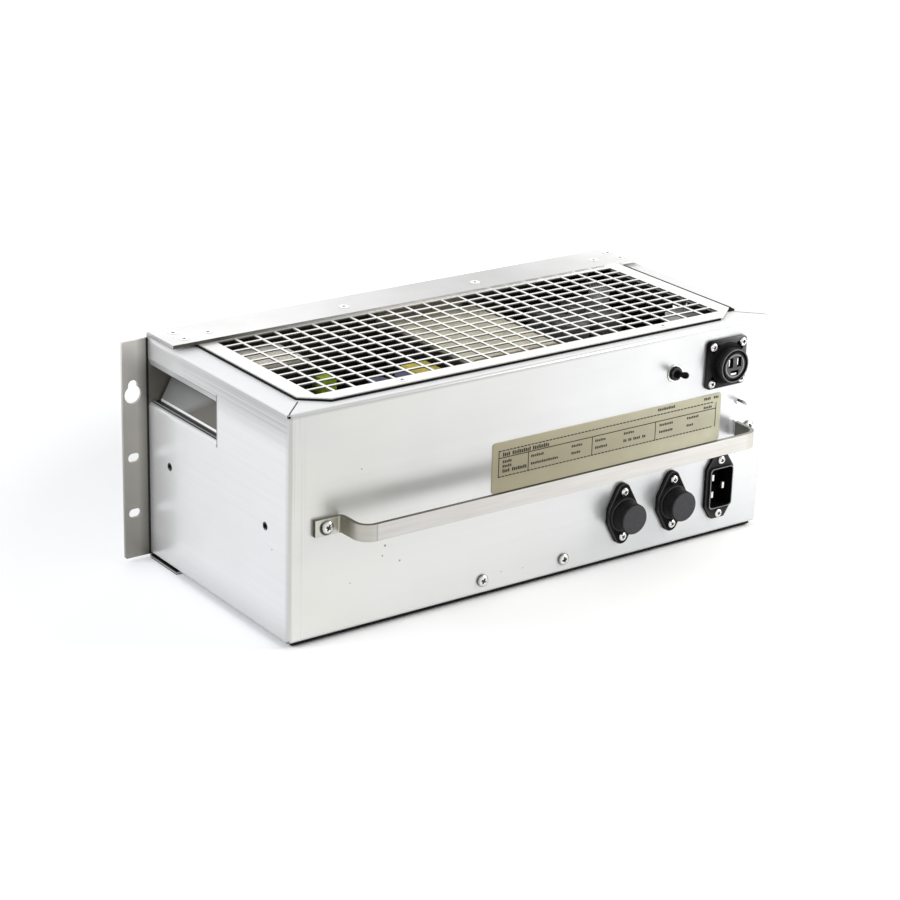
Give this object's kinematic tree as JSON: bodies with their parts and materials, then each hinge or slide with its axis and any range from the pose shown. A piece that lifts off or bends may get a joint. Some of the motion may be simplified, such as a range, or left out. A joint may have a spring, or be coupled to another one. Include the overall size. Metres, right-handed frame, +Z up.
{
  "type": "power supply module",
  "caption": "Rack power supply module: folded sheet box with a punched top grille, rack ears, strap handle, toggle switch, fuse holders, round connector and mains inlet.",
  "frame": {"origin": "middle of the footprint, on the surface that the module stands on", "axes": "+X along the front to its right, +Y to the back, +Z up; the front faces -Y"},
  "size_m": [0.4826, 0.2266, 0.1808],
  "materials": {
    "box_sheet": "satin",
    "frame_plate": "satin",
    "handle_strap": "satin",
    "plate_print": "matte",
    "seal_rubber": "matte",
    "bright_screws": "polished",
    "connector_shell": "matte",
    "black_plastic": "matte",
    "contact_metal": "polished",
    "fuse_ceramic": "satin",
    "board_laminate": "satin",
    "coil_wrap": "matte",
    "core_iron": "matte",
    "sink_black": "matte",
    "yellow_tape": "gloss",
    "blue_sleeve": "gloss",
    "can_grey": "satin",
    "white_plastic": "matte",
    "green_plastic": "matte"
  },
  "bodies": {
    "chassis": {"chassis_wrap": "box_sheet", "top_grille": "box_sheet", "bottom_cover": "box_sheet", "left_grip_recess": "box_sheet", "right_grip_recess": "box_sheet", "base_tray": "box_sheet", "mounting_frame": "frame_plate", "front_handle": "handle_strap", "nameplate": "plate_print", "cover_seal": "seal_rubber", "foot_strip": "seal_rubber", "handle_screws": "bright_screws", "connector_screws": "bright_screws", "fuse_holder_screws": "bright_screws", "inlet_screws": "bright_screws", "panel_screws": "bright_screws", "frame_rivets": "bright_screws", "cover_screws": "bright_screws", "base_screws": "bright_screws", "toggle_washer": "bright_screws", "earth_stud": "bright_screws", "earth_nut": "bright_screws", "board_standoffs": "bright_screws", "control_posts": "bright_screws", "power_standoffs": "bright_screws", "connector_body": "connector_shell", "connector_insert": "black_plastic", "fuse_holder_1": "black_plastic", "fuse_holder_2": "black_plastic", "inlet_housing": "black_plastic", "toggle_switch": "black_plastic", "toggle_nut": "black_plastic", "connector_contacts": "contact_metal", "inlet_pins": "contact_metal", "main_board": "board_laminate", "control_board": "board_laminate", "power_board": "board_laminate", "transformer_coil": "coil_wrap", "choke_coil": "coil_wrap", "transformer_core": "core_iron", "choke_core": "core_iron", "heat_sink": "sink_black", "aux_transformer": "yellow_tape", "small_capacitors": "blue_sleeve", "bulk_capacitors": "can_grey", "output_relay": "white_plastic", "signal_plug": "white_plastic", "earth_terminal": "green_plastic"},
    "switch_lever": {"toggle_lever": "black_plastic"},
    "fuse_carrier_1": {"fuse_cap_1": "black_plastic", "fuse_link_1": "fuse_ceramic"},
    "fuse_carrier_2": {"fuse_cap_2": "black_plastic", "fuse_link_2": "fuse_ceramic"}
  },
  "joints": [
    {"name": "switch_throw", "type": "hinge", "parent": "chassis", "child": "switch_lever", "pos_m": [0.1249, -0.08525, 0.1444], "axis": [1, 0, 0], "range_deg": [0, 20]},
    {"name": "fuse_turn_1", "type": "hinge", "parent": "chassis", "child": "fuse_carrier_1", "pos_m": [0.0784, -0.09325, 0.0407], "axis": [0, -1, 0], "range_deg": [0, 90]},
    {"name": "fuse_turn_2", "type": "hinge", "parent": "chassis", "child": "fuse_carrier_2", "pos_m": [0.1271, -0.09325, 0.0407], "axis": [0, -1, 0], "range_deg": [0, 90]}
  ]
}
